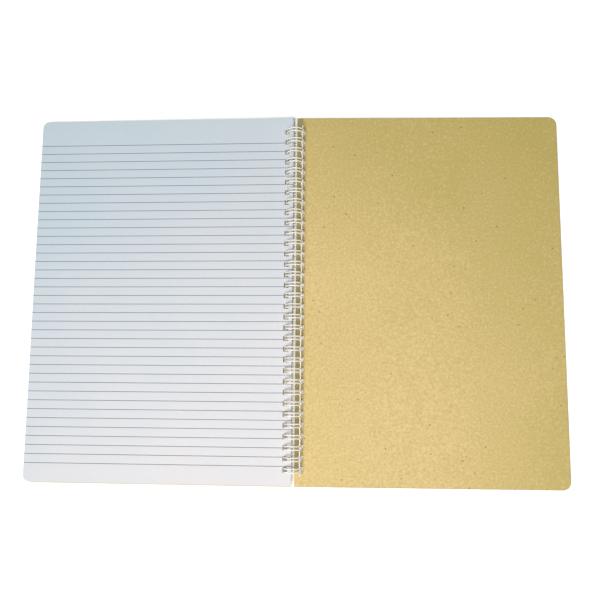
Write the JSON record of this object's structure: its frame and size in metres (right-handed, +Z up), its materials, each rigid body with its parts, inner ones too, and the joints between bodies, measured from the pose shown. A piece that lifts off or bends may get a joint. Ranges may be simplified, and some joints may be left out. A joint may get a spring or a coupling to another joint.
{
  "type": "twin-loop wire-bound notebook",
  "caption": "Large ruled notebook with kraft board covers and a white twin-loop wire binding, lying open at its last page.",
  "frame": {"origin": "on the table under the middle of the binding, half way between head and foot", "axes": "+X to the right across the open spread, +Y towards the head of the page along the binding, +Z up"},
  "size_m": [0.4255, 0.297, 0.0147],
  "materials": {
    "coated_wire": "white coated steel wire, satin",
    "ruled_paper": "cool white uncoated paper with grey-blue ruled lines",
    "kraft_board": "uncoated brown kraft board with fine fibres and flecks"
  },
  "bodies": {
    "back_cover": {"back_cover": "kraft_board"},
    "page_block": {"page_block": "ruled_paper"},
    "front_cover": {"front_cover": "kraft_board"},
    "wire_binding": {"wire_binding": "coated_wire"}
  },
  "joints": [
    {"name": "page_turn", "type": "hinge", "parent": "back_cover", "child": "page_block", "pos_m": [0, 0, 0.00735], "axis": [0, 1, 0], "range_deg": [0, 182.2]},
    {"name": "wire_turn", "type": "hinge", "parent": "back_cover", "child": "wire_binding", "pos_m": [0, 0, 0.00735], "axis": [0, 1, 0], "range_deg": [0, 51]},
    {"name": "front_cover_turn", "type": "hinge", "parent": "page_block", "child": "front_cover", "pos_m": [-0.00092, 0, 0.00504], "axis": [0, -1, 0], "range_deg": [0, 90]}
  ],
  "couplings": [
    {"joint": "wire_turn", "follows": "page_turn", "ratio": 0.2784}
  ]
}
